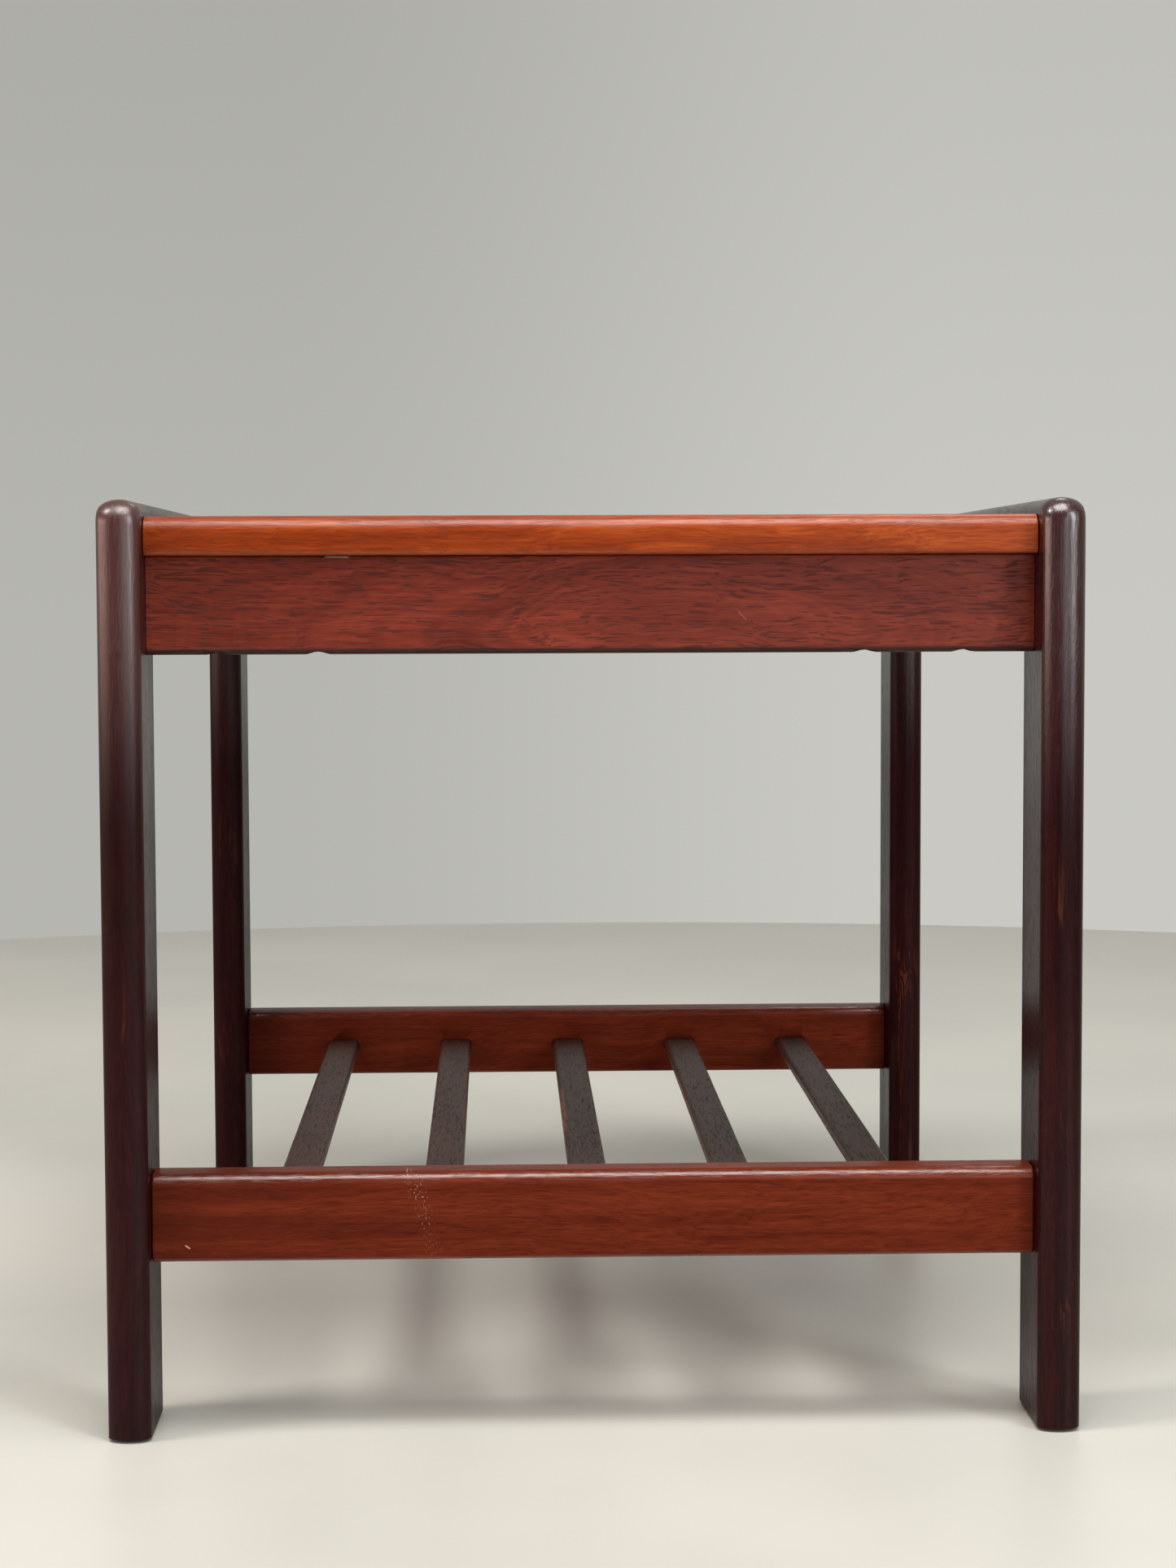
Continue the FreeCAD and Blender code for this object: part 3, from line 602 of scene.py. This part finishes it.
def leg_mesh(name, node, spacing=12 * MM):
    """One upright board with its noses, foot and the square face that meets the side rail."""
    low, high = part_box(node)
    front = low.y < 0
    middle_x = (low.x + high.x) / 2
    half = (high.x - low.x) / 2
    depth = high.y - low.y
    foot = low.z
    top_core = high.z - NOSE
    bend = CORNER - NOSE
    under_core = SIDE_RAIL_BOTTOM + NOSE
    back_core = depth - NOSE

    def climb(start, finish):
        count = max(1, round(abs(finish - start) / spacing))
        return [start + (finish - start) * k / count for k in range(count + 1)]

    # Two paths round the flat core, as (depth, height) and the way the nose reaches from there.
    outer = [(NOSE, z, -1, 0) for z in climb(foot, top_core - bend)]
    for v, z in arc((NOSE + bend, top_core - bend), bend, 180, 90, CORNER_STEPS)[1:]:
        outer.append((v, z, (v - NOSE - bend) / bend, (z - top_core + bend) / bend))
    outer += [(v, top_core, 0, 1) for v in climb(NOSE + bend, depth)[1:]]
    inner = [(depth, under_core, 0, -1), (back_core, under_core, 1, -1)]
    inner += [(back_core, z, 1, 0) for z in climb(under_core - NOSE, foot)]

    points, crest, faces = [], [], []

    def strip(path):
        """The nose along one path; returns the index of each ring's first point."""
        starts = []
        for v, z, step_v, step_z in path:
            starts.append(len(points))
            for k in range(NOSE_STEPS + 1):
                angle = math.pi * (k / NOSE_STEPS - 0.5)
                reach = NOSE * math.cos(angle)
                x = middle_x + half * math.sin(angle)
                across = v + step_v * reach
                y = low.y + across if front else high.y - across
                points.append((x, y, z + step_z * reach))
                crest.append(math.cos(angle))
        for first, second in zip(starts, starts[1:]):
            for k in range(NOSE_STEPS):
                faces.append((first + k, first + k + 1, second + k + 1, second + k))
        return starts

    outer_rings = strip(outer)
    inner_rings = strip(inner)
    for k in (0, NOSE_STEPS):
        faces.append(tuple(start + k for start in outer_rings + inner_rings))
    for one, other in ((outer_rings[-1], inner_rings[0]), (outer_rings[0], inner_rings[-1])):
        faces.append(tuple([one + k for k in range(NOSE_STEPS + 1)]
                           + [other + k for k in range(NOSE_STEPS, -1, -1)]))
    mesh = mesh_from(name, points, faces, crest)
    joint = high.y if front else low.y
    ease_rim(mesh, lambda point: point.z < foot + TINY, FOOT_EASE)
    ease_rim(mesh, lambda point: abs(point.y - joint) < TINY, JOINT_EASE)
    return mesh


def make_legs(material):
    for end in ENDS:
        for side in SIDES:
            node = f"leg_{end}_{side}"
            mesh = leg_mesh(f"{node}_board", node)
            finish_piece(f"{node}_board", mesh, node, material)


def make_side_rails(material):
    for side in SIDES:
        node = f"side_rail_{side}"
        low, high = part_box(node)
        section = nosed_section((low.x + high.x) / 2, (high.x - low.x) / 2, low.z, high.z)
        mesh = loft(f"{node}_board", "y", low.y, high.y, lambda place: section, JOINT_EASE)
        finish_piece(f"{node}_board", mesh, node, material)


# ---------------------------------------------------------------- top, aprons and shelf

def bar_piece(node, axis, radii, material, seed, unevenness=0.12, ease=EASED_EDGE):
    """A straight bar in the box of its CAD node, with hand-eased, slightly uneven arrises."""
    low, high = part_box(node)
    long_axis = AXES[axis]
    cross = [k for k in (0, 1, 2) if k != long_axis]
    flat_low = [low[k] for k in cross]
    flat_high = [high[k] for k in cross]

    def section_at(place):
        varied = [radius * (1 + unevenness * drift(seed + k, place)) for k, radius in enumerate(radii)]
        return rounded_rectangle(flat_low, flat_high, varied)

    name = f"{node}_bar"
    mesh = loft(name, axis, low[long_axis], high[long_axis], section_at, ease)
    return finish_piece(name, mesh, node, material)


def make_aprons(material):
    """Aprons with the wells of the top screws in their undersides."""
    screws_low, screws_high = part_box("top_screws")
    outer_x = screws_high.x - SCREW_HEAD_RADIUS
    inner_x = outer_x - WELL_SPACING
    well_top = screws_low.z + SCREW_HEAD_TALL
    radii = (APRON_LOW_ARRIS, APRON_LOW_ARRIS, MM, MM)
    for seed, end in enumerate(ENDS, start=20):
        node = f"apron_{end}"
        low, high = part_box(node)
        piece = bar_piece(node, "x", radii, material, seed, 0.08)
        middle = (low.y + high.y) / 2
        cutters = [
            cylinder_mesh(f"well_{index}", x, middle, low.z - MM, well_top, WELL_RADIUS)
            for index, x in enumerate((-outer_x, -inner_x, inner_x, outer_x))
        ]
        cut_away(piece, cutters)


def make_shelf_rails(material):
    """Shelf rails with a mortise for the end of each slat."""
    play = MORTISE_PLAY
    radii = (RAIL_LOW_ARRIS, RAIL_LOW_ARRIS, RAIL_BACK_ARRIS, RAIL_FRONT_ARRIS)
    for seed, end in enumerate(ENDS, start=30):
        piece = bar_piece(f"shelf_rail_{end}", "x", radii, material, seed,
                          ease=RAIL_END_EASE)
        cutters = []
        for index in range(SLATS):
            low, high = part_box(f"slat_{index + 1}")
            section = rounded_rectangle((low.x - play, low.z - play), (high.x + play, high.z + play),
                                        [SLAT_ARRIS] * 4)
            reach = (low.y - play, 0) if end == "front" else (0, high.y + play)
            cutters.append(loft(f"mortise_{index}", "y", *reach, lambda place: section, play, 1.0))
        cut_away(piece, cutters)


def make_slats(material, centre_material):
    for index in range(SLATS):
        chosen = centre_material if index == SLATS // 2 else material
        bar_piece(f"slat_{index + 1}", "y", [SLAT_ARRIS] * 4, chosen,
                  40 + 3 * index, 0.15)


def make_top(lipping, veneer):
    """Lippings that are rounded on their outer side, and the veneer between them."""
    sharp, low, top = SHARP_EDGE, LIPPING_LOW_ARRIS, LIPPING_TOP_ROUND
    bar_piece("top_lipping_front", "x", (low, sharp, sharp, top), lipping, 50, 0.08)
    bar_piece("top_lipping_back", "x", (sharp, low, top, sharp), lipping, 54, 0.08)
    bar_piece("top_veneer", "y", [sharp] * 4, veneer, 60, 0.0)


def repaint(node, material):
    """A CAD node that is shown as it is, with a better material."""
    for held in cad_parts[node].material_slots:
        held.material = material


# ---------------------------------------------------------------- the table

def make_table():
    leg_wood = wood("leg_lacquer", "z", LEG_TONES, pith=(-0.20, 0.02), pore_depth=0.3, blotch=0.3,
                    gloss=leg_gloss, specular=leg_polish, relief=0.6, ripples=0.12,
                    worn=RUBBED_LEG, wear=0.6, wear_zone=(340 * MM, 240 * MM), marks_and_painted_light=leg_painted_sheen)
    side_wood = wood("side_rail_lacquer", "y", LEG_TONES, pith=(-0.2, 0.3), pore_depth=0.3,
                     blotch=0.3, gloss=leg_gloss, specular=leg_polish, relief=0.6, ripples=0.12,
                     worn=RUBBED_LEG, wear=0.4)
    apron_wood = wood("apron_mahogany", "x", APRON_TONES, pith=(-0.3125, 0.437), tilt=0.25,
                      rings=300, pore_depth=0.68, gloss=0.38, specular=0.3, relief=1.4,
                      marks_and_painted_light=apron_shade_and_marks)
    shelf_wood = wood("shelf_rail_mahogany", "x", SHELF_TONES, pith=(-0.22, 0.06), pore_depth=0.3,
                      grain=1.25, blotch=0.12, gloss=0.2, specular=arris_polish,
                      worn=RUBBED_RAIL, wear=0.4, marks_and_painted_light=shelf_rail_marks_and_shade)
    lipping_wood = wood("lipping_amber", "x", LIPPING_TONES, pith=(-0.2, 0.44), pore_depth=0.25,
                        grain=1.3, blotch=0.15, gloss=0.28, specular=lipping_polish)
    veneer_wood = wood("top_veneer_mahogany", "y", VENEER_TONES, pith=(0.06, 0.36), rings=150,
                       ring_depth=0.5, gloss=0.42, specular=0.3)
    backing_wood = wood("backing_veneer", "y", BACKING_TONES, pith=(0.0, 0.5), pore_depth=0.4,
                        gloss=0.6)
    slat_wood = wood("slat_stain", "y", SLAT_TONES, pith=(0.3, 0.02), pore_depth=0.5, gloss=0.46,
                     relief=0.9, worn=RUBBED_SLAT, wear=0.4)
    centre_slat = wood("slat_stain_rubbed", "y", SLAT_TONES, pith=(0.3, 0.02), pore_depth=0.5,
                       gloss=0.46, relief=0.9, worn=RUBBED_CENTRE_SLAT, wear=1.0,
                       marks_and_painted_light=centre_slat_touches)
    beech = wood("beech", "x", BEECH_TONES, pore_depth=0.2, gloss=0.6)

    make_legs(leg_wood)
    make_side_rails(side_wood)
    make_aprons(apron_wood)
    make_shelf_rails(shelf_wood)
    make_slats(slat_wood, centre_slat)
    make_top(lipping_wood, veneer_wood)
    repaint("top_backing_veneer", backing_wood)
    repaint("top_core", chipboard("core_chips"))
    for node in ("apron_dowels", "shelf_rail_dowels", "side_rail_dowels"):
        repaint(node, beech)
    repaint("top_screws", plain_metal("screw_steel", (0.56, 0.55, 0.53), 0.32))
    glide = moulded_plastic("glide_plastic", (0.030, 0.024, 0.022))
    for end in ENDS:
        for side in SIDES:
            repaint(f"foot_glide_{end}_{side}", glide)


# ---------------------------------------------------------------- camera, floor, light

CAMERA_PLACE = (-0.0505, -1.8725, 0.4521)
CAMERA_YAW = 0.03058
CAMERA_PITCH = -0.06616
CAMERA_ROLL = -0.00359
CAMERA_LENS = 67.45
CAMERA_SENSOR = 36
FLOOR_MIDDLE = (0.05, 0.15)
FLOOR_RADIUS = 1.95
DAYLIGHT = (0.97, 0.98, 1.0)


def make_camera():
    """A long lens a little below the top, slightly left of the middle and tipped down."""
    ahead = Vector((math.sin(CAMERA_YAW) * math.cos(CAMERA_PITCH),
                    math.cos(CAMERA_YAW) * math.cos(CAMERA_PITCH), math.sin(CAMERA_PITCH)))
    level = Vector((math.cos(CAMERA_YAW), -math.sin(CAMERA_YAW), 0))
    above = level.cross(ahead)
    right = level * math.cos(CAMERA_ROLL) + above * math.sin(CAMERA_ROLL)
    up = above * math.cos(CAMERA_ROLL) - level * math.sin(CAMERA_ROLL)
    data = bpy.data.cameras.new("camera")
    data.sensor_width = CAMERA_SENSOR
    data.lens = CAMERA_LENS
    camera = bpy.data.objects.new("camera", data)
    columns = Matrix((right, up, -ahead)).transposed()
    camera.matrix_world = Matrix.Translation(CAMERA_PLACE) @ columns.to_4x4()
    bpy.context.scene.collection.objects.link(camera)
    bpy.context.scene.camera = camera


def make_floor():
    """A round pale floor that ends about where a wall would stand behind the table."""
    rim = arc(FLOOR_MIDDLE, FLOOR_RADIUS, 0, 360, 128)[:-1]
    mesh = bpy.data.meshes.new("floor")
    mesh.from_pydata([(*point, 0) for point in rim], [], [tuple(range(len(rim)))])
    mesh.materials.append(floor_paint("floor_paint"))
    floor = bpy.data.objects.new("floor", mesh)
    bpy.context.scene.collection.objects.link(floor)


def make_room():
    """A grey studio: the wall behind the table is lit, and the room in front of it is dim."""
    world = bpy.data.worlds.new("room")
    bpy.context.scene.world = world
    world.use_nodes = True
    g = Graph(world.node_tree)
    toward = g.node("TexCoord").outputs["Generated"]
    x, y, z = g.node("SeparateXYZ", {0: toward}).outputs
    wall = g.band(y, -0.4, 0.6, 0.14, 0.45)
    sweep = g.band(x, -0.08, 0.16, 1.0, 1.25)
    height = g.band(z, -0.05, 0.25, 1.04, 0.92)
    strength = g.times(wall, sweep, height)
    backdrop = g.node("Background", {"Color": (1.0, 0.995, 0.93, 1.0), "Strength": strength})
    g.node("OutputWorld", {"Surface": backdrop.outputs[0]})


def softbox(name, place, aim, size, power, colour):
    """A rectangular lamp that the camera doesn't see, aimed at a point; its power in watts."""
    data = bpy.data.lights.new(name, "AREA")
    data.shape = "RECTANGLE"
    data.size, data.size_y = size
    data.energy = power
    data.color = colour
    lamp = bpy.data.objects.new(name, data)
    lamp.location = place
    lamp.rotation_mode = "QUATERNION"
    lamp.rotation_quaternion = (Vector(aim) - Vector(place)).to_track_quat("-Z", "Y")
    lamp.visible_camera = False
    bpy.context.scene.collection.objects.link(lamp)


def make_light():
    softbox("ceiling", (0.1, -1.0, 2.5), (0.0, -0.4, 0.0), (1.3, 1.3), 48.5, (1.0, 0.98, 0.94))
    softbox("lamp_left", (-1.7, -0.9, 2.7), (-0.2, -0.3, 0.5), (0.6, 0.6), 31, (1.0, 0.98, 0.93))
    softbox("lamp_behind", (0.6, 1.6, 2.6), (0.0, 0.0, 0.3), (0.5, 0.5), 4, (1.0, 0.98, 0.94))
    softbox("window_right", (2.7, -3.5, 2.1), (0.2, -0.3, 1.2), (1.1, 3.4), 92, DAYLIGHT)
    softbox("doorway_right", (1.2, -4.7, 1.0), (0.2, -0.3, 0.6), (1.2, 2.2), 13, DAYLIGHT)
    softbox("window_left", (-3.0, -1.35, 0.95), (-0.2, -0.3, 0.6), (2.8, 1.1), 40, (1.0, 0.68, 0.60))
    bpy.context.scene.view_settings.view_transform = "Standard"


make_camera()
make_table()
make_floor()
make_room()
make_light()
